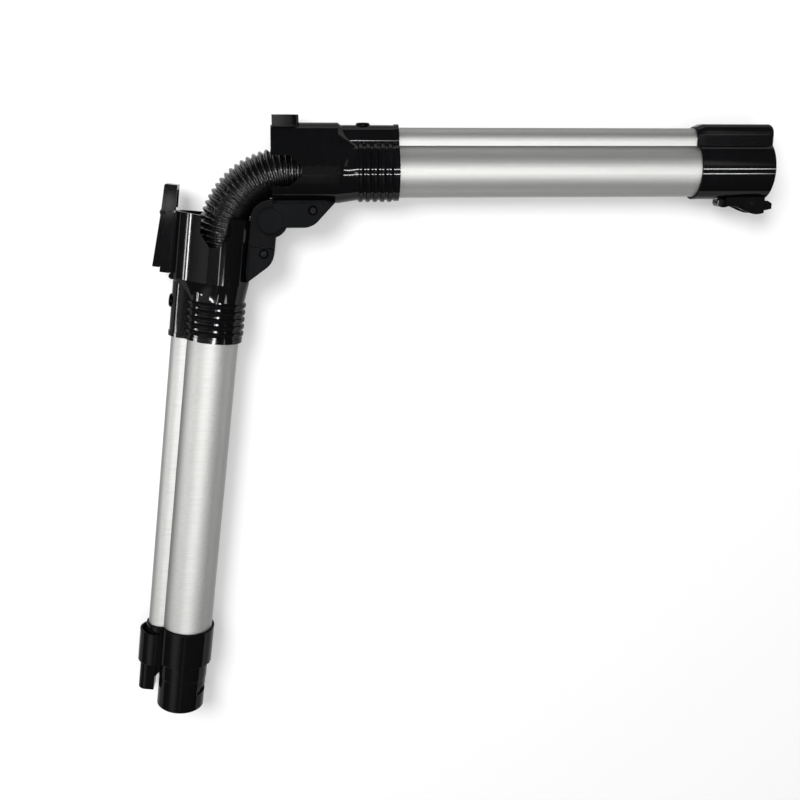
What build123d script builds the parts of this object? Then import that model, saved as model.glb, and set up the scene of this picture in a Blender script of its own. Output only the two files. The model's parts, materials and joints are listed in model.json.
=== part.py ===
from build123d import *

import os
from math import cos, pi, radians, sin, sqrt, tan

# A folding vacuum wand that lies on its side, folded at its elbow. Millimetres.
# Each half is drawn from the hinge axis along +X, with its wire lobe on the +Y side and
# the fold plane at z = 0. The lower half is then mirrored and folded about the hinge.
# "s" is a distance from the hinge along a tube, "u" a distance out from the bore's centre.

# The elbow
fold_angle = 82.5  # degrees that the lower half is folded from straight
hinge_offset = 33.8  # hinge axis to the centre of the round bore
mouth_s = 1.6  # mouth of each housing

# The aluminium tubes: a round bore with a straight-sided lobe for the wires
tube_r = 19.0
tube_wall = 1.2
lobe_r = 9.0
lobe_offset = 20.0
upper_tube_show = 213.7
lower_tube_show = 226.0
tube_fit = 0.05  # all round, between a tube and what it is pushed into

# Elbow housings: an egg-shaped barrel, a taper and a ribbed collar
barrel_length = 45.9
barrel_r = 22.5
barrel_lobe_r = 13.3
barrel_lobe_offset = 19.0
barrel_wall = 2.5
barrel_side_r = 60.0  # swell of the barrel's sides, between its two ends
bulkhead = 3.0
taper_length = 12.5
taper_lobe_r = 11.0
taper_lobe_offset = 12.0
collar_length = 42.0
collar_wall = 1.6
collar_depth = 27.0  # how far the tube goes into the collar
rib_count = 5
rib_pitch = 5.1
rib_width = 3.8
rib_height = 1.4
rib_slope = 0.7
rib_crown = 0.25
rib_lead = 0.9  # bare collar before the first rib
lip_length = 3.2
lip_height = 0.6

# Arrow-shaped notch in the barrel's front and back, and the groove that runs on from it
notch_width = 20.6
notch_straight = 11.9
notch_depth = 20.7
notch_tip = 6.4
upper_notch_u = 0.2
lower_notch_u = 2.5
groove_depth = 0.8

# Hinge fins: a core on each housing, and cheek plates screwed to it
core_half = 10.3
plate_thickness = 4.0
plate_bevel = 0.6
fin_tip_s = 45.0
fin_seat = 1.3  # top of the fin, above the lowest line of the barrel
fin_drop = 4.7  # fin's lower edge, below the hinge axis
fin_slope = 46.6  # degrees, from the lower edge up to the tip
fin_corner_r = 14.0
core_slope = 20.0  # the core falls away from the barrel towards the tip
core_rise = 3.0
web_s = 9.1
web_angle = 62.0
disc_r = 9.6
disc_rise = 0.5
disc_face_r = 8.4
knuckle_r = 11.9
knuckle_gap = 0.6
knuckle_rim_r = 14.2  # rims that close the elbow under the hose
knuckle_rim_z = 8.4
hinge_side_gap = 0.3
lower_plate_s = 18.7
hinge_pin_r = 3.0
hinge_pin_cover = 1.5
hinge_pin_play = 0.05
upper_screw_s = 29.3
upper_screw_y = 7.1
lower_screw_s = 23.1
lower_screw_y = 2.4
plate_screw_r = 1.5
plate_screw_head_r = 2.8
plate_screw_head = 1.8
plate_recess_r = 3.4
plate_recess = 2.4
screw_play = 0.1

# Domed screws on the collars
collar_screw_s = 65.0
collar_screw_head_r = 5.0
collar_screw_head = 2.4
collar_screw_dome = 1.6
collar_screw_r = 1.8
collar_screw_length = 5.2
collar_screw_seat = 0.8

# Corrugated hose and its cuffs
hose_inset = 2.7  # the hose's ridges, inside the tube's outer size
hose_ridge = 2.3
hose_wall = 0.8
hose_pitch = 3.6
hose_sides = 36
hose_bend_s = 14.0  # where the hose starts to bend, inside each barrel
hose_run = 37.0  # corrugated length inside each barrel
hose_plain = 8.0
cuff_wall = 2.4
cuff_length = 14.0
cuff_flange_gap = 1.4
cuff_flange = 3.0
cuff_fit = 0.05

# Twin cable in each lobe
cable_r = 1.3
cable_gap = 0.15
cable_hole_r = 3.0
cable_tail = 6.0  # how far it reaches into the barrel past the bulkhead

# Keeper on the upper barrel: a U-shaped wall round a catch bar
keeper_land_u = 30.4
keeper_s = 2.6
keeper_length = 18.2
keeper_half = 9.8
keeper_foot_half = 8.2  # the barrel's pad under the keeper
keeper_wall = 1.6
keeper_base = 0.8
keeper_top_u = 37.3
keeper_corner_r = 5.0
catch_s = 8.5
catch_length = 3.5
catch_half = 4.6
catch_top_u = 34.3

# Elbow latch: bracket on the lower barrel, and the lever that rocks in it
bracket_land_u = 32.6
bracket_s = 3.0
bracket_length = 41.8
bracket_half = 8.6
bracket_foot_half = 6.2  # the barrel's pad under the bracket
heel_u = 33.2
heel_length = 4.4
bracket_wall = 1.6
bracket_base = 1.2
bracket_top_u = 39.3
latch_pivot_s = 3.6
latch_pivot_u = 39.3
latch_pin_r = 1.5
latch_pin_play = 0.05
latch_ear_r = 2.8
latch_side_gap = 0.4
latch_nose_s = 15.8  # how far the hook reaches past the hinge's plane
latch_nose = 3.3
latch_nose_u = 31.8
latch_skirt_u = 33.0
latch_skirt_gap = 0.4
latch_dent = 0.6
latch_dent_edge = 1.7
latch_arm_u = 36.0
latch_back_u = 40.6
latch_flange = 1.4
latch_tab_s = 41.8
latch_tab_u = 44.9
latch_tab = 4.8
latch_blade = 2.4
latch_rail_u = 39.2  # lower edge of the lever's side rails, between the cheeks
latch_rail_short = 1.5
slot_length = 10.5
slot_width = 2.4
slot_s = 12.4
slot_depth = 0.7
latch_spring_s = 25.0
latch_spring_r = 2.3
latch_wire_r = 0.35
latch_spring_turns = 3
latch_spring_gap = 0.1
spring_steps = 12  # straight lengths in each turn of a spring

# Spigot end, which goes into the floor head
spigot_cuff_length = 29.0
spigot_cuff_wall = 1.85
spigot_length = 39.6
spigot_r = 17.9
spigot_wall = 2.0
spigot_root = 14.0
spigot_root_step = 0.35
spigot_chamfer = 0.8
spigot_depth = 24.9  # how far the tube goes in
funnel_offset = 22.0
funnel_r = 13.0
funnel_side = 12.0
funnel_wall = 1.5
funnel_late = 5.6
funnel_depth = 12.0
funnel_length = 25.9
sleeve_wall = 1.5
prong_reach = 24.5
prong_half = 6.0
prong_inner_u = 20.8
prong_outer_u = 32.9
prong_wall = 1.6
prong_web_half = 4.0
prong_web = 16.8
prong_web_slope = 3.9
contact_length = 14.0
contact_r = 1.85
contact_bore_r = 1.1
contact_half_pitch = 2.9
contact_fit = 0.05
window_back = 13.9  # window's far edge, from the spigot's end
window_length = 5.0
window_half = 12.0
nub_length = 3.0
nub_half = 2.0
nub_inset = 1.0

# Socket end, which takes the machine's spigot
socket_length = 53.1
socket_depth = 23.0
socket_stop = 2.0
socket_clearance = 0.2  # the socket's bore over a spigot of the size above
socket_wall = 2.7
skirt_wall = 1.7
block_half = 12.0
block_top_u = 31.8
block_corner_r = 7.0
block_lead = 1.5  # the lobe's box starts before the skirt and ends past the socket
block_overhang = 1.2
block_flare = 4.7
block_flare_step = 1.9
block_wall = 2.2
block_round = 3.4
block_partition = 1.8
carrier_length = 6.0
carrier_gap = 0.1
pin_u = 24.4
pin_half_pitch = 3.6
pin_r = 1.0
pin_length = 17.0

# Latch lever under the socket
cheek_s = 23.8  # from the start of the socket
cheek_in = 6.6
cheek_out = 8.2
cheek_short = 0.5
cheek_start_drop = 4.3
cheek_neck_s = 29.4
cheek_neck_drop = 4.6
cheek_hip_s = 39.8
cheek_hip_drop = 8.7
cheek_end_drop = 9.5
release_pivot_s = 42.9
release_pivot_drop = 2.8
release_pin_r = 1.6
release_pin_play = 0.05
release_side_gap = 0.4
release_tip_s = 17.8
release_tip_drop = 1.3
release_tip_r = 5.0
release_ramp = 4.8
release_belly_s = 23.4
release_belly_drop = 5.6
release_neck_s = 27.0
release_neck_drop = 4.7
release_heel_s = 46.5
release_heel_drop = 7.2
release_nose = 5.9
release_nose_drop = 6.7
release_nose_top = 2.0
release_gap = 1.0
release_tip = 1.0
hook_s = 48.0
hook_length = 4.0
hook_half = 4.6
hook_play = 0.5
hook_short = 0.3
relief_s = 16.4
relief_length = 17.2
relief_drop = 1.0
release_spring_s = 22.4
release_spring_r = 2.0
release_wire_r = 0.25
release_spring_turns = 2

# Worked out from the sizes above
shoulder_s = mouth_s + barrel_length
taper_end_s = shoulder_s + taper_length
collar_end_s = shoulder_s + collar_length
tube_start_s = collar_end_s - collar_depth
bulkhead_s = shoulder_s - bulkhead
bracket_end_s = bracket_s + bracket_length
collar_r = tube_r + tube_fit + collar_wall
collar_lobe_r = lobe_r + tube_fit + collar_wall
collar_top_u = lobe_offset + collar_lobe_r
rib_r = collar_r + rib_height
rib_start_s = taper_end_s + rib_lead
tube_bore_r = tube_r - tube_wall
fin_tip_y = hinge_offset - barrel_r + fin_seat
plate_face_z = core_half + plate_thickness
hose_r = tube_r - hose_inset
hose_valley_r = hose_r - hose_ridge
hose_bore_r = hose_valley_r - hose_wall
hose_bend_r = hinge_offset + hose_bend_s / tan(radians(fold_angle / 2))
cuff_r = hose_valley_r + cuff_fit + cuff_wall
cuff_flange_r = barrel_r - barrel_wall - cuff_flange_gap
cable_u = tube_r + cable_r + cable_gap
socket_s = collar_end_s + upper_tube_show
socket_end_s = socket_s + socket_length
socket_stop_s = socket_s + socket_depth
socket_bore_s = socket_stop_s + socket_stop
socket_bore_r = spigot_r + socket_clearance
socket_r = max(socket_bore_r + socket_wall, tube_r + tube_fit + skirt_wall)
spigot_s = collar_end_s + lower_tube_show
spigot_step_s = spigot_s + spigot_cuff_length
spigot_end_s = spigot_step_s + spigot_length
spigot_stop_s = spigot_s + spigot_depth
spigot_cuff_r = tube_r + tube_fit + spigot_cuff_wall
spigot_bore_r = spigot_r - spigot_wall
funnel_s = spigot_s + funnel_late
funnel_end_s = funnel_s + funnel_length
funnel_floor_s = funnel_s + funnel_depth
prong_end_s = funnel_end_s + prong_reach
prong_u = prong_outer_u - prong_half
contact_s = prong_end_s - contact_length


# Plane square to the tube: its x runs out along the lobe, its y is up
def across(s):
    return Plane(origin=(s, hinge_offset, 0), x_dir=(0, 1, 0), z_dir=(1, 0, 0))


# Plane along the tube that faces out from the bore
def plan(u):
    return Plane(origin=(0, hinge_offset + u, 0), x_dir=(1, 0, 0), z_dir=(0, 1, 0))


# Solid of one section along the tube
def run(section, start, end):
    return extrude(across(start) * section, amount=end - start)


# Solid of a face drawn in the fold plane, between two heights
def slab(face, low, high):
    return extrude(Plane.XY.offset(low) * face, amount=high - low)


# The same face as two slabs, above and below the fold plane
def slab_pair(face, inner, outer):
    return slab(face, inner, outer) + slab(face, -outer, -inner)


# Points given as (s, u), moved to the hinge's frame
def out(*points):
    return [(s, u + hinge_offset) for s, u in points]


def area(points):
    return make_face(Polyline(*points, close=True))


# Rectangle given by its ranges along s and u
def patch(s_low, s_high, u_low, u_high):
    return area(out((s_low, u_low), (s_high, u_low), (s_high, u_high), (s_low, u_high)))


# Shaft along the fold axis
def post(x, y, r, low, high):
    return slab(Pos(x, y) * Circle(r), low, high)


# The tube's own outline: a circle with a straight-sided lobe
def keyhole(main_r, arm_r):
    neck = sqrt(main_r**2 - arm_r**2)
    far = lobe_offset
    edges = [
        ThreePointArc((neck, arm_r), (-main_r, 0), (neck, -arm_r)),
        Line((neck, -arm_r), (far, -arm_r)),
        ThreePointArc((far, -arm_r), (far + arm_r, 0), (far, arm_r)),
        Line((far, arm_r), (neck, arm_r)),
    ]
    return make_face(edges)


# Two circles joined by wide arcs that are tangent to both
def egg(main_r, small_r, offset, side_r):
    near_reach = side_r - main_r
    far_reach = side_r - small_r
    side_x = (offset**2 + near_reach**2 - far_reach**2) / (2 * offset)
    side_y = sqrt(near_reach**2 - side_x**2)
    near = Vector(-side_x, side_y) * (main_r / near_reach)
    far = Vector(offset, 0) + Vector(offset - side_x, side_y) * (small_r / far_reach)
    middle = ((near + far) / 2 - Vector(side_x, -side_y)).normalized() * side_r + Vector(side_x, -side_y)
    edges = [
        ThreePointArc(near, (-main_r, 0), (near.X, -near.Y)),
        ThreePointArc((near.X, -near.Y), (middle.X, -middle.Y), (far.X, -far.Y)),
        ThreePointArc((far.X, -far.Y), (offset + small_r, 0), far),
        ThreePointArc(far, middle, near),
    ]
    return make_face(edges)


# Box from the bore's centre out to a top with two rounded corners
def block(half, top, corner_r):
    face = Pos(top / 2, 0) * Rectangle(top, 2 * half)
    return fillet(face.vertices().group_by(Axis.X)[-1], corner_r)


def tube(end):
    channel = keyhole(tube_r, lobe_r - tube_wall) - Circle(tube_r)
    section = keyhole(tube_r, lobe_r) - Circle(tube_bore_r) - channel
    return run(section, tube_start_s, end) - collar_screw_hole()


# Side view of a fin, which comes to a point under the barrel
def fin_face():
    corner_s = fin_tip_s - (fin_tip_y + fin_drop) * cos(radians(fin_slope)) / sin(radians(fin_slope))
    turn = radians(web_angle)
    points = [
        (mouth_s, fin_tip_y),
        (fin_tip_s, fin_tip_y),
        (corner_s, -fin_drop),
        (web_s, -fin_drop),
        (disc_r * cos(turn), -disc_r * sin(turn)),
        (mouth_s, 0),
    ]
    face = area(points)
    corner = face.vertices().sort_by_distance((corner_s, -fin_drop, 0))[0]
    return fillet(corner, fin_corner_r)


# The fin's core also runs up into the barrel
def core_face():
    top = area([
        (mouth_s, fin_tip_y),
        (fin_tip_s, fin_tip_y),
        (fin_tip_s - core_slope, fin_tip_y + core_rise),
        (fin_tip_s - core_slope, hinge_offset),
        (mouth_s, hinge_offset),
    ])
    return fin_face() + top


# Quarter of the knuckle's rim, on the side of the mouth
def rim_face(r):
    return Circle(r) & area([(mouth_s, 0), (mouth_s, r), (-r, r), (-r, 0)])


def barrel_section(inset):
    return egg(barrel_r - inset, barrel_lobe_r - inset, barrel_lobe_offset, barrel_side_r - inset)


# Ridge round a collar, with sloped flanks and a slight crown
def collar_rib(start_s):
    end_s = start_s + rib_width
    profile = out(
        (start_s, 0),
        (start_s, collar_r),
        (start_s + rib_slope, rib_r - rib_crown),
        (start_s + rib_width / 2, rib_r),
        (end_s - rib_slope, rib_r - rib_crown),
        (end_s, collar_r),
        (end_s, 0),
    )
    return revolve(area(profile), axis=Axis((0, hinge_offset, 0), (1, 0, 0)))


# Barrel, taper and ribbed collar, still solid
def housing_blank():
    blank = run(barrel_section(0), mouth_s, shoulder_s)
    small_end = egg(collar_r, taper_lobe_r, taper_lobe_offset, barrel_side_r)
    blank += loft([across(shoulder_s) * barrel_section(0), across(taper_end_s) * small_end], ruled=True)
    blank += run(keyhole(collar_r, collar_lobe_r), shoulder_s, collar_end_s)
    for number in range(rib_count):
        blank += collar_rib(rib_start_s + number * rib_pitch)
    lip = keyhole(collar_r + lip_height, collar_lobe_r + lip_height)
    return blank + run(lip, collar_end_s - lip_length, collar_end_s)


# Everything that is open inside a housing, with its notches and grooves
def housing_hollow(notch_u):
    hollow = run(barrel_section(barrel_wall), mouth_s - 1, bulkhead_s)
    hollow += run(Circle(cuff_r + cuff_fit), bulkhead_s, tube_start_s)
    hollow += run(Pos(cable_u, 0) * Circle(cable_hole_r), bulkhead_s, tube_start_s)
    hollow += run(keyhole(tube_r + tube_fit, lobe_r + tube_fit), tube_start_s, collar_end_s)
    half = notch_width / 2
    tip = notch_tip / 2
    notch = out(
        (mouth_s - 1, notch_u - half),
        (mouth_s + notch_straight, notch_u - half),
        (mouth_s + notch_depth, notch_u - tip),
        (mouth_s + notch_depth, notch_u + tip),
        (mouth_s + notch_straight, notch_u + half),
        (mouth_s - 1, notch_u + half),
    )
    hollow += slab(area(notch), -barrel_r - 1, barrel_r + 1)
    groove = patch(mouth_s + notch_depth, shoulder_s, notch_u - tip, notch_u + tip)
    return hollow + slab_pair(groove, barrel_r - groove_depth, barrel_r + 1)


# Seat and hole for the domed screw on a collar
def collar_screw_hole():
    seat_y = hinge_offset + collar_top_u - collar_screw_seat
    seat = Plane(origin=(collar_screw_s, seat_y, 0), z_dir=(0, 1, 0))
    hole = extrude(seat * Circle(collar_screw_head_r + screw_play), amount=collar_screw_head)
    shank_r = collar_screw_r + screw_play
    return hole + extrude(seat * Circle(shank_r), amount=-collar_screw_length - screw_play)


# Pan head with a well rounded rim
def collar_screw():
    seat_y = hinge_offset + collar_top_u - collar_screw_seat
    seat = Plane(origin=(collar_screw_s, seat_y, 0), z_dir=(0, 1, 0))
    head = extrude(seat * Circle(collar_screw_head_r), amount=collar_screw_head)
    head = fillet(head.faces().sort_by(Axis.Y)[-1].edges(), collar_screw_dome)
    return head + extrude(seat * Circle(collar_screw_r), amount=-collar_screw_length)


def upper_housing():
    core = slab(core_face(), -core_half, core_half)
    keeper_end_s = keeper_s + keeper_length
    pedestal = slab(patch(keeper_s, keeper_end_s, 0, keeper_land_u), -keeper_foot_half, keeper_foot_half)
    housing = housing_blank() + core + pedestal - housing_hollow(upper_notch_u) - collar_screw_hole()
    land = patch(mouth_s - 1, keeper_end_s, keeper_land_u, keeper_top_u)
    housing -= slab(land, -keeper_half, keeper_half)
    housing -= post(0, 0, knuckle_r + knuckle_gap, -core_half, core_half)
    rim_room = Circle(knuckle_rim_r + knuckle_gap)
    housing -= slab_pair(rim_room, knuckle_rim_z - hinge_side_gap, core_half)
    hole_r = plate_screw_r + screw_play
    return housing - post(upper_screw_s, upper_screw_y, hole_r, -core_half, core_half)


def lower_housing():
    half = core_half - hinge_side_gap
    core = slab(core_face(), -half, half)
    pedestal = slab(patch(bracket_s, bracket_end_s, 0, bracket_land_u), -bracket_foot_half, bracket_foot_half)
    heel_end_s = bracket_end_s + heel_length
    heel = out(
        (bracket_end_s, 0),
        (bracket_end_s, bracket_land_u - plate_bevel),
        (bracket_end_s + heel_length / 3, heel_u),
        (heel_end_s - heel_length / 4, heel_u),
        (heel_end_s, heel_u - heel_length / 3),
        (heel_end_s, 0),
    )
    pedestal += slab(area(heel), -bracket_foot_half, bracket_foot_half)
    housing = housing_blank() + core + pedestal - housing_hollow(lower_notch_u) - collar_screw_hole()
    land = patch(bracket_s, bracket_end_s, bracket_land_u, bracket_top_u)
    housing -= slab(land, -bracket_half, bracket_half)
    housing += post(0, 0, knuckle_r, -half, half) + slab_pair(rim_face(knuckle_rim_r), knuckle_rim_z, half)
    housing -= post(0, 0, hinge_pin_r + hinge_pin_play, -half, half)
    hole_r = plate_screw_r + screw_play
    return housing - post(lower_screw_s, lower_screw_y, hole_r, -half, half)


# Bevel round the outer face of a plate that lies above the fold plane
def bevelled(plate):
    return chamfer(plate.faces().sort_by(Axis.Z)[-1].edges(), plate_bevel)


# Recess and hole for a plate's screw on the front, blind hole at the back
def plate_screw_cut(s, y, front):
    hole_r = plate_screw_r + screw_play
    if not front:
        return post(s, y, hole_r, -plate_face_z + hinge_pin_cover, -core_half + hinge_side_gap)
    recess = post(s, y, plate_recess_r, plate_face_z - plate_recess, plate_face_z)
    return recess + post(s, y, hole_r, core_half - hinge_side_gap, plate_face_z)


# The upper cheek plates end in discs that hold the hinge pin
def upper_hinge_plates():
    front = bevelled(slab(fin_face() + Circle(disc_r), core_half, plate_face_z))
    front += post(0, 0, disc_face_r, core_half, plate_face_z + disc_rise)
    back = mirror(front, about=Plane.XY)
    pin_end = plate_face_z - hinge_pin_cover
    pin_hole = post(0, 0, hinge_pin_r + hinge_pin_play, -pin_end, pin_end)
    front -= pin_hole + plate_screw_cut(upper_screw_s, upper_screw_y, True)
    back -= pin_hole + plate_screw_cut(upper_screw_s, upper_screw_y, False)
    return Compound([front.solid(), back.solid()])


# The lower cheek plates stop short of the discs
def lower_hinge_plates():
    low = core_half - hinge_side_gap
    keep = area([
        (lower_plate_s, -knuckle_r),
        (fin_tip_s, -knuckle_r),
        (fin_tip_s, hinge_offset),
        (lower_plate_s, hinge_offset),
    ])
    front = bevelled(slab(fin_face() & keep, low, plate_face_z))
    back = mirror(front, about=Plane.XY)
    front -= plate_screw_cut(lower_screw_s, lower_screw_y, True)
    back -= plate_screw_cut(lower_screw_s, lower_screw_y, False)
    return Compound([front.solid(), back.solid()])


def plate_screw(s, y):
    seat_z = plate_face_z - plate_recess
    head = post(s, y, plate_screw_head_r, seat_z, seat_z + plate_screw_head)
    rim = head.faces().sort_by(Axis.Z)[-1].edges()
    head = fillet(rim, plate_screw_head / 2)
    return head + post(s, y, plate_screw_r, -plate_face_z + hinge_pin_cover, seat_z)


def hinge_pin():
    pin_end = plate_face_z - hinge_pin_cover
    return post(0, 0, hinge_pin_r, -pin_end, pin_end)


# U-shaped wall, open towards the mouth, with a catch bar across its floor
def latch_keeper():
    middle = keeper_s + keeper_length / 2
    outer = Pos(middle, 0) * Rectangle(keeper_length, 2 * keeper_half)
    outer = fillet(outer.vertices().group_by(Axis.X)[-1], keeper_corner_r)
    inner_half = keeper_half - keeper_wall
    inner = Pos(middle - keeper_wall, 0) * Rectangle(keeper_length, 2 * inner_half)
    inner = fillet(inner.vertices().group_by(Axis.X)[-1], keeper_corner_r - keeper_wall)
    keeper = extrude(plan(keeper_land_u) * outer, amount=keeper_top_u - keeper_land_u)
    floor_u = keeper_land_u + keeper_base
    keeper -= extrude(plan(floor_u) * inner, amount=keeper_top_u - floor_u)
    bar = slab(patch(catch_s, catch_s + catch_length, floor_u, catch_top_u), -catch_half, catch_half)
    return keeper + bar


# Base and two cheeks; the pin's ears are at the end by the mouth
def latch_bracket():
    cheek = patch(bracket_s, bracket_end_s, bracket_land_u, bracket_top_u)
    cheek += Pos(latch_pivot_s, latch_pivot_u + hinge_offset) * Circle(latch_ear_r)
    cheek -= Pos(latch_pivot_s, latch_pivot_u + hinge_offset) * Circle(latch_pin_r)
    bracket = slab_pair(cheek, bracket_half - bracket_wall, bracket_half)
    slot = Pos(slot_s, latch_pivot_u - latch_ear_r / 2 + hinge_offset) * SlotOverall(slot_length, slot_width)
    bracket -= slab_pair(slot, bracket_half - slot_depth, bracket_half)
    base = patch(bracket_s, bracket_end_s, bracket_land_u, bracket_land_u + bracket_base)
    return bracket + slab(base, -bracket_half, bracket_half)


# Hook over the mouth, boss on the pin, and a blade that flares to the press tab
def elbow_latch():
    half = bracket_half - bracket_wall - latch_side_gap
    blade = out(
        (-latch_nose_s, latch_back_u - 1),
        (-latch_nose_s + 1, latch_back_u),
        (latch_pivot_s, latch_back_u + 1),
        (latch_tab_s, latch_tab_u),
        (latch_tab_s, latch_tab_u - latch_tab),
        (latch_tab_s - latch_tab, latch_tab_u - latch_blade - 1),
        (latch_pivot_s + latch_ear_r, latch_back_u + 1 - latch_blade),
        (latch_pivot_s, latch_arm_u),
        (-latch_nose_s, latch_arm_u),
    )
    lever = slab(area(blade), -half, half)
    nose = patch(-latch_nose_s, -latch_nose_s + latch_nose, latch_nose_u, latch_arm_u)
    lever += slab(nose, -half, half)
    flank = patch(-latch_nose_s, 0, latch_nose_u, latch_arm_u)
    flank += patch(-latch_nose, bracket_s - latch_skirt_gap, latch_skirt_u, latch_arm_u)
    rail_end_s = latch_tab_s - latch_rail_short
    rail = out(
        (latch_pivot_s, latch_rail_u),
        (rail_end_s, latch_rail_u),
        (rail_end_s, latch_tab_u - latch_blade),
        (latch_pivot_s, latch_back_u),
    )
    lever += slab_pair(flank, half - latch_flange, half) + slab_pair(area(rail), half - latch_flange, half)
    dent_edge_u = latch_back_u - latch_dent_edge
    dent = patch(latch_nose - latch_nose_s, -latch_dent_edge, latch_nose_u + latch_dent_edge, dent_edge_u)
    lever -= slab_pair(dent, half - latch_dent, half)
    pivot_y = latch_pivot_u + hinge_offset
    lever += post(latch_pivot_s, pivot_y, latch_ear_r, -half, half)
    return lever - post(latch_pivot_s, pivot_y, latch_pin_r + latch_pin_play, -half, half)


def elbow_latch_pin():
    return post(latch_pivot_s, latch_pivot_u + hinge_offset, latch_pin_r, -bracket_half, bracket_half)


# Coil standing on z = 0
def coil_spring(height, mean_r, wire_r, turns):
    rise = height - 2 * wire_r
    climb = rise / (2 * pi * turns * mean_r)
    rings = []
    for step in range(spring_steps * turns + 1):
        turn = 2 * pi * step / spring_steps
        centre = (mean_r * cos(turn), mean_r * sin(turn), wire_r + rise * step / (spring_steps * turns))
        plane = Plane(origin=centre, x_dir=(cos(turn), sin(turn), 0), z_dir=(-sin(turn), cos(turn), climb))
        rings.append(plane * RegularPolygon(wire_r, 6))
    return loft(rings, ruled=True)


def elbow_latch_spring():
    base_u = bracket_land_u + bracket_base
    start_s = latch_pivot_s + latch_ear_r
    start_u = latch_back_u + 1 - latch_blade
    end_s = latch_tab_s - latch_tab
    end_u = latch_tab_u - latch_blade - 1
    near_s = latch_spring_s - latch_spring_r
    under_u = start_u + (end_u - start_u) * (near_s - start_s) / (end_s - start_s)
    height = under_u - base_u - 2 * latch_spring_gap
    spring = coil_spring(height, latch_spring_r, latch_wire_r, latch_spring_turns)
    return Pos(latch_spring_s, hinge_offset + base_u + latch_spring_gap, 0) * Rot(-90, 0, 0) * spring


# Hose: ridges along a straight run, round the elbow and along the other run
def flex_hose():
    turns_bend = round(hose_bend_r * radians(fold_angle) / hose_pitch)
    straight = hose_run - hose_bend_s
    turns_run = round(straight / hose_pitch)
    planes = []
    for step in range(2 * turns_run):
        reach = hose_run - straight * step / (2 * turns_run)
        planes.append(Plane(origin=(reach, hinge_offset, 0), x_dir=(0, 1, 0), z_dir=(-1, 0, 0)))
    for step in range(2 * turns_bend):
        planes.append(bend_plane(fold_angle * step / (2 * turns_bend)))
    last = bend_plane(fold_angle)
    for step in range(2 * turns_run + 1):
        planes.append(last.offset(straight * step / (2 * turns_run)))
    rings = []
    for number, plane in enumerate(planes):
        ring_r = hose_r if number % 2 else hose_valley_r
        rings.append(plane * RegularPolygon(ring_r, hose_sides))
    hose = loft(rings, ruled=True)
    hose += extrude(planes[0] * Circle(hose_valley_r), amount=-hose_plain)
    hose += extrude(planes[-1] * Circle(hose_valley_r), amount=hose_plain)
    first = bend_plane(0)
    bend_axis = Axis((hose_bend_s, hinge_offset - hose_bend_r, 0), (0, 0, 1))
    bore = revolve(first * Circle(hose_bore_r), axis=bend_axis, revolution_arc=fold_angle)
    bore += extrude(first * Circle(hose_bore_r), amount=-straight - hose_plain)
    bore += extrude(last * Circle(hose_bore_r), amount=straight + hose_plain)
    return hose - bore


# Plane square to the hose where it has turned this far
def bend_plane(angle):
    turn = radians(angle)
    centre = (hose_bend_s - hose_bend_r * sin(turn), hinge_offset - hose_bend_r * (1 - cos(turn)), 0)
    return Plane(origin=centre, x_dir=(-sin(turn), cos(turn), 0), z_dir=(-cos(turn), -sin(turn), 0))


# Ring on the hose's plain end, with a flange against the bulkhead
def hose_cuff():
    bore_r = hose_valley_r + cuff_fit
    cuff = run(Circle(cuff_r), hose_run, hose_run + cuff_length)
    cuff += run(Circle(cuff_flange_r), bulkhead_s - cuff_flange, bulkhead_s)
    return cuff - run(Circle(bore_r), hose_run, hose_run + cuff_length)


# Two wires side by side on the wall between bore and lobe
def cable(end):
    start = bulkhead_s - cable_tail
    spread = cable_r * 0.95
    wires = run(Pos(cable_u, spread) * Circle(cable_r), start, end)
    return wires + run(Pos(cable_u, -spread) * Circle(cable_r), start, end)


def d_section(half, inner_u, outer_u):
    middle = outer_u - half
    face = Pos((inner_u + middle) / 2, 0) * Rectangle(middle - inner_u, 2 * half)
    return face + Pos(middle, 0) * Circle(half)


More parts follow.
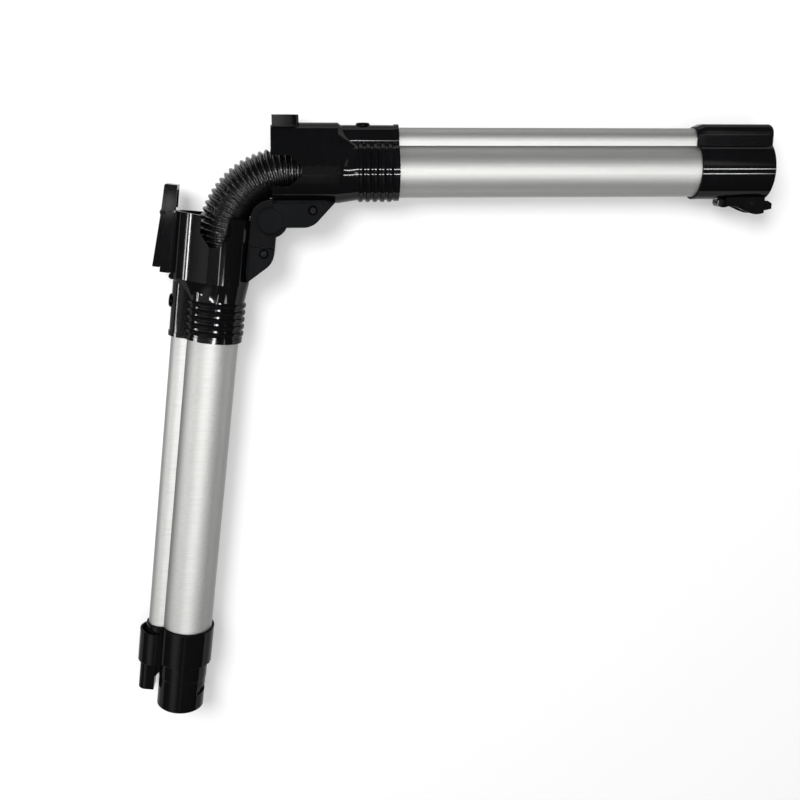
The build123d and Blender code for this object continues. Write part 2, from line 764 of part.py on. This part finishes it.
# Cuff on the tube, funnel round the lobe, spigot and plug prong
def spigot_coupling():
    sleeve = keyhole(spigot_cuff_r, lobe_r + tube_fit + sleeve_wall)
    body = run(Circle(spigot_cuff_r), spigot_s, spigot_step_s)
    body += run(sleeve, spigot_s, funnel_floor_s)
    funnel = Pos(funnel_offset, 0) * Circle(funnel_r)
    funnel += Pos(funnel_offset / 2, 0) * Rectangle(funnel_offset, 2 * funnel_side)
    body += run(funnel, funnel_s, funnel_end_s)
    root_r = spigot_r + spigot_root_step
    body += run(Circle(root_r), spigot_step_s, spigot_step_s + spigot_root)
    spigot = run(Circle(spigot_r), spigot_step_s, spigot_end_s)
    body += chamfer(spigot.faces().sort_by(Axis.X)[-1].edges(), spigot_chamfer)
    prong = run(d_section(prong_half, prong_inner_u, prong_outer_u), funnel_end_s, prong_end_s)
    body += prong
    web_end_s = spigot_step_s + prong_web
    web = out(
        (spigot_step_s, spigot_bore_r),
        (web_end_s - prong_web_slope, spigot_bore_r),
        (web_end_s - prong_web_slope, spigot_r),
        (web_end_s, prong_inner_u),
        (web_end_s, prong_inner_u + prong_wall),
        (spigot_step_s, prong_inner_u + prong_wall),
    )
    body += slab(area(web), -prong_web_half, prong_web_half)
    nub = patch(spigot_step_s, spigot_step_s + nub_length, nub_inset - spigot_cuff_r, 0)
    body += slab(nub, -nub_half, nub_half)
    body -= run(keyhole(tube_r + tube_fit, lobe_r + tube_fit), spigot_s, spigot_stop_s)
    body -= run(Circle(spigot_bore_r), spigot_stop_s, spigot_end_s)
    pocket = Pos(funnel_offset, 0) * Circle(funnel_r - funnel_wall)
    pocket += Pos(funnel_offset / 2, 0) * Rectangle(funnel_offset, 2 * (funnel_side - funnel_wall))
    pocket -= sleeve
    body -= run(pocket, funnel_s, funnel_floor_s)
    inner = d_section(prong_half - prong_wall, prong_inner_u + prong_wall, prong_outer_u - prong_wall)
    body -= run(inner, spigot_stop_s, contact_s)
    for side in (-1, 1):
        hole = Pos(prong_u, side * contact_half_pitch) * Circle(contact_r + contact_fit)
        body -= run(hole, contact_s, prong_end_s)
    window_end_s = spigot_end_s - window_back
    window = patch(window_end_s - window_length, window_end_s, -spigot_cuff_r, -spigot_bore_r / 2)
    return body - slab(window, -window_half, window_half)


def plug_contacts():
    sleeves = []
    for side in (-1, 1):
        place = Pos(prong_u, side * contact_half_pitch)
        section = place * (Circle(contact_r) - Circle(contact_bore_r))
        sleeves.append(run(section, contact_s, prong_end_s).solid())
    return Compound(sleeves)


# Skirt on the tube, boxy lobe, socket bore and the latch's cheeks
def socket_coupling():
    body = run(Circle(socket_r), socket_s, socket_end_s)
    block_s = socket_s - block_lead
    flare_s = block_s + block_flare
    small = block(block_half - block_flare_step, block_top_u - block_flare_step, block_corner_r)
    large = block(block_half, block_top_u, block_corner_r)
    body += loft([across(block_s) * small, across(flare_s) * large], ruled=True)
    lobe = run(large, flare_s, socket_end_s + block_overhang)
    end_edges = lobe.faces().sort_by(Axis.X)[-1].edges().sort_by(Axis.Y)[-3:]
    body += fillet(end_edges, block_round)
    start_s = socket_s + cheek_s
    end_s = socket_end_s - cheek_short
    low_edge = Spline(
        *out(
            (start_s, -socket_r - cheek_start_drop),
            (socket_s + cheek_neck_s, -socket_r - cheek_neck_drop),
            (socket_s + cheek_hip_s, -socket_r - cheek_hip_drop),
            (end_s, -socket_r - cheek_end_drop),
        )
    )
    upper_y = hinge_offset - socket_bore_r
    cheek = make_face([
        low_edge,
        Line(low_edge @ 1, (end_s, upper_y)),
        Line((end_s, upper_y), (start_s, upper_y)),
        Line((start_s, upper_y), low_edge @ 0),
    ])
    body += slab_pair(cheek, cheek_in, cheek_out)
    cavity = block(block_half - block_wall, block_top_u - block_wall, block_corner_r - block_wall)
    cavity -= Circle(socket_bore_r + block_partition)
    body -= run(cavity, socket_bore_s, socket_end_s + block_overhang)
    body -= run(Pos(cable_u, 0) * Circle(cable_hole_r), socket_stop_s, socket_bore_s)
    body -= run(keyhole(tube_r + tube_fit, lobe_r + tube_fit), block_s, socket_stop_s)
    body -= run(Circle(tube_bore_r), socket_stop_s, socket_bore_s)
    body -= run(Circle(socket_bore_r), socket_bore_s, socket_end_s + block_overhang)
    pivot = release_pivot()
    body -= post(pivot[0], pivot[1], release_pin_r, -cheek_out, cheek_out)
    near_s = socket_s + hook_s - hook_play
    window = patch(near_s, near_s + hook_length + 2 * hook_play, -socket_r - 1, 0)
    body -= slab(window, -hook_half - hook_play, hook_half + hook_play)
    relief_start_s = socket_s + relief_s
    relief_end_s = relief_start_s + relief_length
    relief = run(Circle(socket_r + 1) - Circle(socket_r - relief_drop), relief_start_s, relief_end_s)
    return body - (relief & slab(patch(relief_start_s, relief_end_s, -socket_r - 1, 0), -cheek_in, cheek_in))


def release_pivot():
    return (socket_s + release_pivot_s, hinge_offset - socket_r - release_pivot_drop)


# Thumb tip, belly, heel and nose in one rocker, with its hook in the socket's wall
def socket_latch():
    half = cheek_in - release_side_gap
    outer = Spline(
        *out(
            (socket_s + release_tip_s, -socket_r - release_tip_drop - release_tip),
            (socket_s + release_belly_s, -socket_r - release_belly_drop),
            (socket_s + release_neck_s, -socket_r - release_neck_drop),
            (socket_s + release_heel_s, -socket_r - release_heel_drop),
            (socket_end_s + release_nose, -socket_r - release_nose_drop),
        )
    )
    hook_top = -socket_bore_r - hook_short
    near_s = socket_s + hook_s
    inner = Polyline(
        *out(
            (socket_end_s + release_nose, -socket_r - release_nose_drop),
            (socket_end_s + release_nose, -socket_r - release_gap - release_nose_top),
            (socket_end_s + release_nose / 2, -socket_r - release_gap),
            (near_s + hook_length, -socket_r - release_gap),
            (near_s + hook_length, -socket_r + release_ramp),
            (socket_s + release_tip_s + release_ramp, -socket_r + release_ramp),
            (socket_s + release_tip_s, -socket_r - release_tip_drop),
            (socket_s + release_tip_s, -socket_r - release_tip_drop - release_tip),
        )
    )
    lever = slab(make_face([outer] + inner.edges()), -half, half)
    length = socket_length + release_nose - release_tip_s
    outline = Pos(socket_s + release_tip_s + length / 2, 0) * Rectangle(length, 2 * half)
    outline = fillet(outline.vertices().group_by(Axis.X)[0], release_tip_r)
    lever &= extrude(plan(-2 * socket_r) * outline, amount=2 * socket_r)
    lever -= run(Circle(socket_r + release_gap), socket_s, socket_end_s)
    hook = patch(near_s, near_s + hook_length, -socket_r - release_gap - release_tip, hook_top)
    lever += slab(hook, -hook_half, hook_half)
    pivot = release_pivot()
    return lever - post(pivot[0], pivot[1], release_pin_r + release_pin_play, -half, half)


def socket_latch_pin():
    pivot = release_pivot()
    return post(pivot[0], pivot[1], release_pin_r, -cheek_out, cheek_out)


def socket_latch_spring():
    floor_u = -socket_r + relief_drop
    height = relief_drop + release_gap - release_wire_r
    spring = coil_spring(height, release_spring_r, release_wire_r, release_spring_turns)
    place = Pos(socket_s + release_spring_s, hinge_offset + floor_u - release_wire_r / 2, 0)
    return place * Rot(90, 0, 0) * spring


def contact_carrier():
    inset = block_wall + carrier_gap
    section = block(block_half - inset, block_top_u - inset, block_corner_r - inset)
    section -= Circle(socket_bore_r + block_partition + carrier_gap)
    carrier = run(section, socket_bore_s, socket_bore_s + carrier_length)
    for side in (-1, 1):
        hole = Pos(pin_u, side * pin_half_pitch) * Circle(pin_r)
        carrier -= run(hole, socket_bore_s, socket_bore_s + carrier_length)
    return carrier


def contact_pins():
    pins = []
    for side in (-1, 1):
        section = Pos(pin_u, side * pin_half_pitch) * Circle(pin_r)
        pins.append(run(section, socket_bore_s, socket_bore_s + pin_length).solid())
    return Compound(pins)


# The lower half is the mirror image of an upper one, folded about the hinge
def fold_down(piece):
    return Rot(0, 0, fold_angle) * mirror(piece, about=Plane.YZ)


nodes = {
    "upper_tube": tube(socket_stop_s),
    "upper_housing": upper_housing(),
    "upper_hinge_plates": upper_hinge_plates(),
    "hinge_pin": hinge_pin(),
    "upper_hinge_screw": plate_screw(upper_screw_s, upper_screw_y),
    "latch_keeper": latch_keeper(),
    "upper_collar_screw": collar_screw(),
    "upper_hose_cuff": hose_cuff(),
    "upper_cable": cable(socket_bore_s),
    "socket_coupling": socket_coupling(),
    "contact_carrier": contact_carrier(),
    "contact_pins": contact_pins(),
    "socket_latch": socket_latch(),
    "socket_latch_pin": socket_latch_pin(),
    "socket_latch_spring": socket_latch_spring(),
    "flex_hose": flex_hose(),
    "lower_tube": fold_down(tube(spigot_stop_s)),
    "lower_housing": fold_down(lower_housing()),
    "lower_hinge_plates": fold_down(lower_hinge_plates()),
    "lower_hinge_screw": fold_down(plate_screw(lower_screw_s, lower_screw_y)),
    "lower_collar_screw": fold_down(collar_screw()),
    "lower_hose_cuff": fold_down(hose_cuff()),
    "lower_cable": fold_down(cable(spigot_stop_s)),
    "latch_bracket": fold_down(latch_bracket()),
    "elbow_latch": fold_down(elbow_latch()),
    "elbow_latch_pin": fold_down(elbow_latch_pin()),
    "elbow_latch_spring": fold_down(elbow_latch_spring()),
    "spigot_coupling": fold_down(spigot_coupling()),
    "plug_contacts": fold_down(plug_contacts()),
}

# The origin is under the middle of the whole wand, on the surface that it lies on
box = Compound([solid for piece in nodes.values() for solid in piece.solids()]).bounding_box()
shift = Pos(-box.center().X, -box.center().Y, -box.min.Z)

os.makedirs("parts", exist_ok=True)
for name, piece in nodes.items():
    export_step(shift * piece, f"parts/{name}.step")
print("hinge axis at", tuple(round(value, 4) for value in shift.position))
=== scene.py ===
import bpy
import json
import math
from mathutils import Matrix, Vector


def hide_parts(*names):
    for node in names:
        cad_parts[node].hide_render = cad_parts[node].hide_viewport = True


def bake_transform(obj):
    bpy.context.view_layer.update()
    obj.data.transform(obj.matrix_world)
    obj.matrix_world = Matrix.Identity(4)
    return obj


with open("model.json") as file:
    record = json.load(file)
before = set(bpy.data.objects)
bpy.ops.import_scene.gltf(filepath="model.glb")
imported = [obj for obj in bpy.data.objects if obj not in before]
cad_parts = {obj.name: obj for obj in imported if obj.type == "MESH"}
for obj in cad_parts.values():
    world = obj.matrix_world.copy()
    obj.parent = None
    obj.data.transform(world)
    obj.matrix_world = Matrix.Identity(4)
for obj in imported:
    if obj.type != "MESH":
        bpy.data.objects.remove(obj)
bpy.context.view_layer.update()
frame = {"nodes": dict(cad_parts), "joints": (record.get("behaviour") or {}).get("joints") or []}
nodes = frame["nodes"]
foldJoint = next(joint for joint in frame["joints"] if joint["name"] == "wand_fold")
hinge = Vector(foldJoint["pos_m"])
foldAngle = math.radians(-foldJoint["range_deg"][0])
lowerAlong = Vector((-math.cos(foldAngle), -math.sin(foldAngle), 0))  # down the lower tube
lowerOut = Vector((-math.sin(foldAngle), math.cos(foldAngle), 0))  # out towards its wire lobe
print("stage: frame loaded,", len(nodes), "nodes")


class Wire:  # one output socket, so that shader maths reads as Python
    def __init__(self, finish, socket):
        self.finish = finish
        self.socket = socket

    def math(self, operation, *values):
        return self.finish.add("ShaderNodeMath", {"operation": operation}, dict(enumerate(values)))

    def __add__(self, other):
        return self.math("ADD", self, other)

    def __sub__(self, other):
        return self.math("SUBTRACT", self, other)

    def __rsub__(self, other):
        return self.math("SUBTRACT", other, self)

    def __mul__(self, other):
        return self.math("MULTIPLY", self, other)

    __radd__ = __add__

    def sibling(self, output):  # another output of the same node
        return Wire(self.finish, self.socket.node.outputs[output])

    def clamp(self):
        return self.finish.add("ShaderNodeClamp", {}, {0: self})

    def between(self, low, high):  # smooth rise from 0 at low to 1 at high
        settings = {"interpolation_type": "SMOOTHSTEP"}
        return self.finish.add("ShaderNodeMapRange", settings, {0: self, 1: low, 2: high})


class Finish:  # a node tree, with one method that adds any node
    def __init__(self, tree):
        self.tree = tree
        self.tree.nodes.clear()

    def add(self, kind, settings, sockets, output=0):
        node = self.tree.nodes.new(kind)
        for key, value in settings.items():
            setattr(node, key, value)
        for key, value in sockets.items():
            self.feed(node.inputs[key], value)
        return Wire(self, node.outputs[output]) if len(node.outputs) else None

    def feed(self, socket, value):
        if isinstance(value, Wire):
            self.tree.links.new(value.socket, socket)
        else:
            socket.default_value = value

    def noise(self, where, scale, detail=3, roughness=0.55):
        sockets = {"Vector": where, "Scale": scale, "Detail": detail, "Roughness": roughness}
        return self.add("ShaderNodeTexNoise", {}, sockets)

    def place(self):
        return self.add("ShaderNodeTexCoord", {}, {}, "Object")

    def turned(self, where, scale, angle=0.0):
        sockets = {"Vector": where, "Scale": scale, "Rotation": (0, 0, angle)}
        return self.add("ShaderNodeMapping", {}, sockets)

    def facing(self):  # 0 where the surface faces the eye, 1 at a glancing angle
        return self.add("ShaderNodeLayerWeight", {}, {"Blend": 0.5}, "Facing")

    def mixColour(self, factor, first, second):
        return self.add("ShaderNodeMix", {"data_type": "RGBA"}, {0: factor, 6: first, 7: second}, 2)

    def softEdges(self, radius):  # moulded edges catch the light as if slightly rounded
        return self.add("ShaderNodeBevel", {"samples": 6}, {"Radius": radius})

    def bump(self, height, strength, distance, normal=None):
        sockets = {"Height": height, "Strength": strength, "Distance": distance}
        if normal:
            sockets["Normal"] = normal
        return self.add("ShaderNodeBump", {}, sockets)

    def surface(self, shader):
        self.add("ShaderNodeOutputMaterial", {}, {"Surface": shader})


def newFinish(name):
    material = bpy.data.materials.new(name)
    material.use_nodes = True
    return material, Finish(material.node_tree)


aluminiumLook = {
    "pale": (0.75, 0.75, 0.735, 1),
    "deep": (0.65, 0.65, 0.635, 1),
    "toneSpan": (0.32, 0.68),
    # painted shade: black, mixed into the skin towards a glancing angle
    "paintedShadeColour": (0, 0, 0, 1),
    "paintedShadeShare": 0.52,  # share of painted shade (black) in the drawn skin at a glancing angle, darkening the tube's sides
    "paintedShadeSpan": (0.15, 0.6),
    "roughness": 0.58,
    "spread": 0.06,
    "drawnScale": (4, 900, 900),  # long streaks
    "cloudScale": (6, 22, 22),
    "speckleScale": 2600.0,
    "grain": 0.05,
    "grainDepth": 0.0002,
}


def satinAluminium(name, angle):  # grain drawn out along the tube
    material, f = newFinish(name)
    look = aluminiumLook
    where = f.place()
    drawn = f.noise(f.turned(where, look["drawnScale"], angle), 1.0, 4)
    speckle = f.noise(where, look["speckleScale"], 2)
    cloud = f.noise(f.turned(where, look["cloudScale"], angle), 1.0, 2)
    tone = (drawn * 0.5 + speckle * 0.3 + cloud * 0.2).between(*look["toneSpan"])
    skin = f.mixColour(tone, look["deep"], look["pale"])
    # painted shade: the base colour darkens towards black at a glancing angle, standing in for dimmer
    # reflections along the tube's sides
    shade = f.facing().between(*look["paintedShadeSpan"]) * look["paintedShadeShare"]
    sockets = {
        "Base Color": f.mixColour(shade, skin, look["paintedShadeColour"]),
        "Metallic": 1.0,
        "Roughness": look["roughness"] + (drawn * 0.6 + cloud * 0.4 - 0.5) * look["spread"],
        "Normal": f.bump(drawn * 0.5 + speckle * 0.5, look["grain"], look["grainDepth"]),
    }
    f.surface(f.add("ShaderNodeBsdfPrincipled", {}, sockets))
    return material


plasticLooks = {
    "gloss": {"dark": (0.0025, 0.0026, 0.003, 1), "worn": (0.005, 0.0052, 0.006, 1), "roughness": 0.09,
              "spread": 0.05, "peel": 0.012, "peelScale": 420.0, "coat": 0.8, "ior": 1.12, "edge": 0.0009},
    "satin": {"dark": (0.004, 0.0043, 0.005, 1), "worn": (0.007, 0.0074, 0.0082, 1), "roughness": 0.42,
              "spread": 0.10, "peel": 0.06, "peelScale": 1400.0, "coat": 0.0, "ior": 1.09, "edge": 0.0006},
    "hose": {"dark": (0.002, 0.002, 0.0022, 1), "worn": (0.004, 0.004, 0.0045, 1), "roughness": 0.26,
             "spread": 0.05, "peel": 0.03, "peelScale": 700.0, "coat": 1.0, "ior": 1.6, "edge": 0.0001},
    "sheath": {"dark": (0.016, 0.016, 0.016, 1), "worn": (0.03, 0.03, 0.03, 1), "roughness": 0.5,
               "spread": 0.1, "peel": 0.1, "peelScale": 1500.0, "coat": 0.0, "ior": 1.5, "edge": 0.0001},
}
mouldLook = {  # what all these plastics share
    "marksScale": (60, 18, 60),
    "marksTurn": 0.6,
    "marksSpan": (0.45, 0.75),
    "hairsScale": (900, 30, 900),
    "hairsTurn": 0.35,
    "hairsSpan": (0.66, 0.78),
    "coatSpan": (0.12, 0.55),  # the coat fades out towards a glancing angle
    "coatRoughness": 0.06,
    "peelDepth": 0.0002,
}


def mouldedPlastic(name, look):  # moulded skin, with handling marks that dull it in places
    material, f = newFinish(name)
    mould = mouldLook
    where = f.place()
    peel = f.noise(where, look["peelScale"], 3)
    marks = f.noise(f.turned(where, mould["marksScale"], mould["marksTurn"]), 1.0, 5, 0.7)
    marks = marks.between(*mould["marksSpan"])
    hairs = f.noise(f.turned(where, mould["hairsScale"], mould["hairsTurn"]), 1.0, 2)
    hairs = hairs.between(*mould["hairsSpan"])
    sockets = {
        "Base Color": f.mixColour((marks * 0.7 + hairs * 0.3).clamp(), look["dark"], look["worn"]),
        "Roughness": look["roughness"] + (marks * 0.6 + hairs * 0.4) * look["spread"],
        "Coat Weight": (1 - f.facing().between(*mould["coatSpan"])) * look["coat"],
        "Coat Roughness": mould["coatRoughness"],
        "IOR": look["ior"],
        "Normal": f.bump(peel, look["peel"], mould["peelDepth"], f.softEdges(look["edge"])),
    }
    f.surface(f.add("ShaderNodeBsdfPrincipled", {}, sockets))
    return material


metalLooks = {
    "steel": {"deep": (0.42, 0.42, 0.43, 1), "pale": (0.62, 0.62, 0.62, 1), "roughness": 0.26},
    "blacked": {"deep": (0.003, 0.003, 0.0035, 1), "pale": (0.01, 0.01, 0.0105, 1), "roughness": 0.24},
    "brass": {"deep": (0.55, 0.38, 0.13, 1), "pale": (0.80, 0.61, 0.27, 1), "roughness": 0.24},
}
latheLook = {  # what all these metals share
    "linesScale": (300, 300, 2600),
    "tarnishScale": 240.0,
    "toneSpan": (0.3, 0.7),
    "spread": 0.2,
    "lineBump": 0.08,
    "lineDepth": 0.0001,
}


def turnedMetal(name, look):  # fine lathe lines and a little tarnish
    material, f = newFinish(name)
    lathe = latheLook
    where = f.place()
    lines = f.noise(f.turned(where, lathe["linesScale"]), 1.0, 3)
    tarnish = f.noise(where, lathe["tarnishScale"], 4)
    tone = (lines * 0.4 + tarnish * 0.6).between(*lathe["toneSpan"])
    sockets = {
        "Base Color": f.mixColour(tone, look["deep"], look["pale"]),
        "Metallic": 1.0,
        "Roughness": look["roughness"] + (tarnish - 0.5) * lathe["spread"],
        "Normal": f.bump(lines, lathe["lineBump"], lathe["lineDepth"]),
    }
    f.surface(f.add("ShaderNodeBsdfPrincipled", {}, sockets))
    return material


finishes = {
    "upperAluminium": satinAluminium("upperAluminium", 0.0),
    "lowerAluminium": satinAluminium("lowerAluminium", -foldAngle),
    "glossBlack": mouldedPlastic("glossBlack", plasticLooks["gloss"]),
    "satinCharcoal": mouldedPlastic("satinCharcoal", plasticLooks["satin"]),
    "hoseBlack": mouldedPlastic("hoseBlack", plasticLooks["hose"]),
    "cableSheath": mouldedPlastic("cableSheath", plasticLooks["sheath"]),
    "steel": turnedMetal("steel", metalLooks["steel"]),
    "blackedSteel": turnedMetal("blackedSteel", metalLooks["blacked"]),
    "brass": turnedMetal("brass", metalLooks["brass"]),
}
print("stage: finishes made,", len(finishes))

pieceFinish = {  # which finish each CAD piece gets
    "upper_tube": "upperAluminium", "lower_tube": "lowerAluminium",
    "upper_housing": "glossBlack", "lower_housing": "glossBlack",
    "socket_coupling": "glossBlack", "spigot_coupling": "glossBlack",
    "latch_keeper": "glossBlack", "latch_bracket": "glossBlack",
    "elbow_latch": "glossBlack", "socket_latch": "glossBlack",
    "upper_hinge_plates": "satinCharcoal", "lower_hinge_plates": "satinCharcoal",
    "upper_hose_cuff": "satinCharcoal", "lower_hose_cuff": "satinCharcoal",
    "contact_carrier": "satinCharcoal", "hinge_pin": "steel",
    "elbow_latch_pin": "blackedSteel", "socket_latch_pin": "blackedSteel",
    "elbow_latch_spring": "steel", "socket_latch_spring": "steel",
    "upper_hinge_screw": "blackedSteel", "lower_hinge_screw": "blackedSteel",
    "upper_collar_screw": "blackedSteel", "lower_collar_screw": "blackedSteel",
    "contact_pins": "brass", "plug_contacts": "brass",
    "upper_cable": "cableSheath", "lower_cable": "cableSheath",
    "flex_hose": "hoseBlack",
}
crispAngle = math.radians(28)  # an edge over this angle stays crisp


def dress(piece, finish):
    piece.data.materials.clear()
    piece.data.materials.append(finishes[finish])


for name, piece in nodes.items():
    dress(piece, pieceFinish[name])
    piece.data.shade_smooth()
    piece.data.set_sharp_from_angle(angle=crispAngle)
print("stage: CAD pieces dressed")


def linked(name, data):
    thing = bpy.data.objects.new(name, data)
    bpy.context.scene.collection.objects.link(thing)
    return thing


def meshPiece(name, points, faces):
    mesh = bpy.data.meshes.new(name)
    mesh.from_pydata(points, [], faces)
    mesh.update()
    return linked(name, mesh)


hoseShape = {
    "offset": 0.0338,  # hinge axis to the hose's centre line
    "bendStart": 0.014,  # where the bend starts, inside each barrel
    "crest": 0.0163,
    "root": 0.0140,
    "bore": 0.0132,
    "pitch": 0.0036,
    "run": 0.037,  # end of the corrugations in each barrel
    "plain": 0.008,
    "round": 0.62,  # under 1 makes broad crests and narrow roots
    "squeeze": 0.7,  # how far the roots fill on the inside of the bend
    "around": 84,
    "perRidge": 10,
    "perBoreRing": 5,
}


def bendRadius():
    return hoseShape["offset"] + hoseShape["bendStart"] / math.tan(foldAngle / 2)


def hosePlace(distance, arc):  # centre and outward direction at a distance past the start of the bend
    offset, start = hoseShape["offset"], hoseShape["bendStart"]
    if distance <= 0:
        return hinge + Vector((start - distance, offset, 0)), Vector((0, 1, 0))
    if distance >= arc:
        return hinge + lowerOut * offset + lowerAlong * (start + distance - arc), lowerOut
    radius = bendRadius()
    turn = distance / radius
    centre = Vector((start - radius * math.sin(turn), offset - radius * (1 - math.cos(turn)), 0))
    return hinge + centre, Vector((-math.sin(turn), math.cos(turn), 0))


def hoseRings():  # distance and radius of each ring, out along the ridges and back along the bore
    shape = hoseShape
    arc = bendRadius() * foldAngle
    straight = shape["run"] - shape["bendStart"]
    bendRidges = round(arc / shape["pitch"])
    runRidges = round(straight / shape["pitch"])
    runs = ((-straight, straight, runRidges), (0, arc, bendRidges), (arc, straight, runRidges))
    outside = [(-straight - shape["plain"], shape["root"])]
    for start, length, ridges in runs:
        steps = ridges * shape["perRidge"]
        for step in range(steps):
            wave = 0.5 - 0.5 * math.cos(2 * math.pi * step / shape["perRidge"])
            radius = shape["root"] + (shape["crest"] - shape["root"]) * wave ** shape["round"]
            outside.append((start + length * step / steps, radius))
    outside.append((arc + straight, shape["root"]))
    outside.append((arc + straight + shape["plain"], shape["root"]))
    inside = [(distance, shape["bore"]) for distance, radius in reversed(outside[::shape["perBoreRing"]])]
    return outside + inside, arc


def corrugatedHose():
    rings, arc = hoseRings()
    count = hoseShape["around"]
    points = []
    faces = []
    for distance, radius in rings:
        centre, out = hosePlace(distance, arc)
        bent = hoseShape["squeeze"] if radius > hoseShape["bore"] and 0 < distance < arc else 0
        for step in range(count):
            angle = 2 * math.pi * step / count
            fill = (hoseShape["crest"] - radius) * bent * max(0, -math.cos(angle))
            reach = radius + fill
            points.append(centre + out * (reach * math.cos(angle)) + Vector((0, 0, reach * math.sin(angle))))
    for ring in range(len(rings)):
        nextRing = (ring + 1) % len(rings)
        for step in range(count):
            nextStep = (step + 1) % count
            faces.append((ring * count + step, ring * count + nextStep,
                          nextRing * count + nextStep, nextRing * count + step))
    hose = meshPiece("corrugated_hose", points, faces)
    dress(hose, "hoseBlack")
    hose.data.shade_smooth()
    hose.data.flip_normals()
    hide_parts("flex_hose")
    hosePlace(0, arc)[0]
    hosePlace(arc, arc)[0]
    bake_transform(hose)


corrugatedHose()
print("stage: hose made")

stageLook = {
    "floorSize": 8.0,
    "floorColour": (0.86, 0.86, 0.86, 1),
    "glowColour": (1, 1, 1, 1),
    "glow": 0.35,  # share of plain white in the floor, for the eye and for reflections
}


def paleFloor():
    half = stageLook["floorSize"] / 2
    corners = [(-half, -half, 0), (half, -half, 0), (half, half, 0), (-half, half, 0)]
    floor = meshPiece("paleFloor", corners, [(0, 1, 2, 3)])
    material, f = newFinish("paleFloor")
    matt = f.add("ShaderNodeBsdfDiffuse", {}, {"Color": stageLook["floorColour"]})
    glow = f.add("ShaderNodeEmission", {}, {"Color": stageLook["glowColour"], "Strength": 1.0})
    ray = f.add("ShaderNodeLightPath", {}, {}, "Is Camera Ray")
    seen = ray + ray.sibling("Is Glossy Ray") + ray.sibling("Is Transmission Ray")
    f.surface(f.add("ShaderNodeMixShader", {}, {0: seen.clamp() * stageLook["glow"], 1: matt, 2: glow}))
    floor.data.materials.append(material)


roomLook = {  # each strip: degrees across, half width, strength, then the middle and half length along
    "dim": 0.05,
    "colour": (1, 1, 1, 1),
    "sideEdge": 0.4,  # softness of an edge, as a share of the half width or half length
    "endEdge": 0.05,
    "hazeEdge": 0.9,
    "long": (  # across towards +Y, along towards +X
        (4.8, 0.9, 38.0, (1.0, 24.5)),
        (-13.5, 0.8, 38.0, (1.0, 24.5)),
    ),
    "cross": (  # across towards +X, along towards +Y
        (-73.4, 0.7, 22.0, (-2.0, 11.0)),
        (-68.6, 0.8, 40.0, (-2.0, 11.0)),
        (8.2, 1.0, 10.0, (-15.0, 10.0)),
        (-60.0, 6.0, 22.0, (-14.0, 4.5)),
        (46.0, 7.0, 7.0, (-31.0, 4.0)),
        (-7.8, 0.35, 3.2, (-3.3, 0.5)),
        (-1.9, 0.5, 1.2, (1.2, 0.8)),
    ),
    "haze": (  # as cross, but broad and faint
        (-40.0, 16.0, 0.4, (-15.0, 25.0)),
        (-2.0, 4.0, 0.12, (-20.0, 24.0)),
        (23.9, 2.4, 0.6, (33.0, 14.0)),
    ),
}


def bar(angle, middle, half, soft):  # 1 near the middle and 0 away from it
    edge = half * soft
    rise = angle.between(middle - half - edge, middle - half + edge)
    return rise * (1 - angle.between(middle + half - edge, middle + half + edge))


def studioRoom():  # a dim room with narrow light strips, all by direction
    world = bpy.data.worlds.new("studioRoom")
    bpy.context.scene.world = world
    world.use_nodes = True
    f = Finish(world.node_tree)
    look = roomLook
    direction = f.add("ShaderNodeTexCoord", {}, {}, "Generated")
    x = f.add("ShaderNodeSeparateXYZ", {}, {0: direction}, "X")
    y = x.sibling("Y")
    z = x.sibling("Z")
    towardsX = x.math("ARCTAN2", x, z) * math.degrees(1)
    towardsY = y.math("ARCTAN2", y, z) * math.degrees(1)
    light = look["dim"]
    for place, half, strength, span in look["haze"]:
        patch = bar(towardsX, place, half, look["hazeEdge"]) * bar(towardsY, *span, look["sideEdge"])
        light = light + patch * strength
    for across, along, strips in ((towardsY, towardsX, look["long"]), (towardsX, towardsY, look["cross"])):
        for place, half, strength, span in strips:
            patch = bar(across, place, half, look["sideEdge"]) * bar(along, *span, look["endEdge"])
            light = light + patch * strength
    background = f.add("ShaderNodeBackground", {}, {"Color": look["colour"], "Strength": light})
    f.add("ShaderNodeOutputWorld", {}, {"Surface": background})
    world.cycles_visibility.diffuse = False  # it shows in reflections only, and the lamps light the floor


lampLooks = {
    "keyLamp": {"place": (-0.95, 1.05, 2.1), "size": 1.2, "power": 64.0},  # shadow to the lower right
    "topLamp": {"place": (0.1, -0.1, 3.2), "size": 3.0, "power": 60.0},  # fills that shadow
}


def softLamp(name, look):
    data = bpy.data.lights.new(name, "AREA")
    data.shape = "DISK"
    data.size = look["size"]
    data.energy = look["power"]
    lamp = linked(name, data)
    lamp.location = look["place"]
    lamp.rotation_euler = (-lamp.location).to_track_quat("-Z", "Y").to_euler()
    lamp.visible_glossy = False


cameraLook = {  # fitted to the two tubes in the photograph
    "place": (0.02655, 0.05202, 0.71059),  # from the hinge
    "ahead": (0.08764, -0.25135, -0.96392),
    "upward": (0.02174, 0.96790, -0.25041),
    "lens": 44.44,
    "sensor": 36,
    "clipStart": 0.01,
    "clipEnd": 50,
}


def photoCamera():
    look = cameraLook
    place = hinge + Vector(look["place"])
    ahead = Vector(look["ahead"]).normalized()
    right = ahead.cross(Vector(look["upward"]).normalized()).normalized()
    upward = right.cross(ahead)
    data = bpy.data.cameras.new("photoCamera")
    data.lens = look["lens"]
    data.sensor_width = look["sensor"]
    data.clip_start = look["clipStart"]
    data.clip_end = look["clipEnd"]
    camera = linked("photoCamera", data)
    axes = Matrix((right, upward, -ahead)).transposed()
    camera.matrix_world = Matrix.Translation(place) @ axes.to_4x4()
    bpy.context.scene.camera = camera


paleFloor()
studioRoom()
for lampName, lampLook in lampLooks.items():
    softLamp(lampName, lampLook)
photoCamera()
bpy.context.scene.view_settings.view_transform = "Standard"
print("stage: floor, room and camera set")
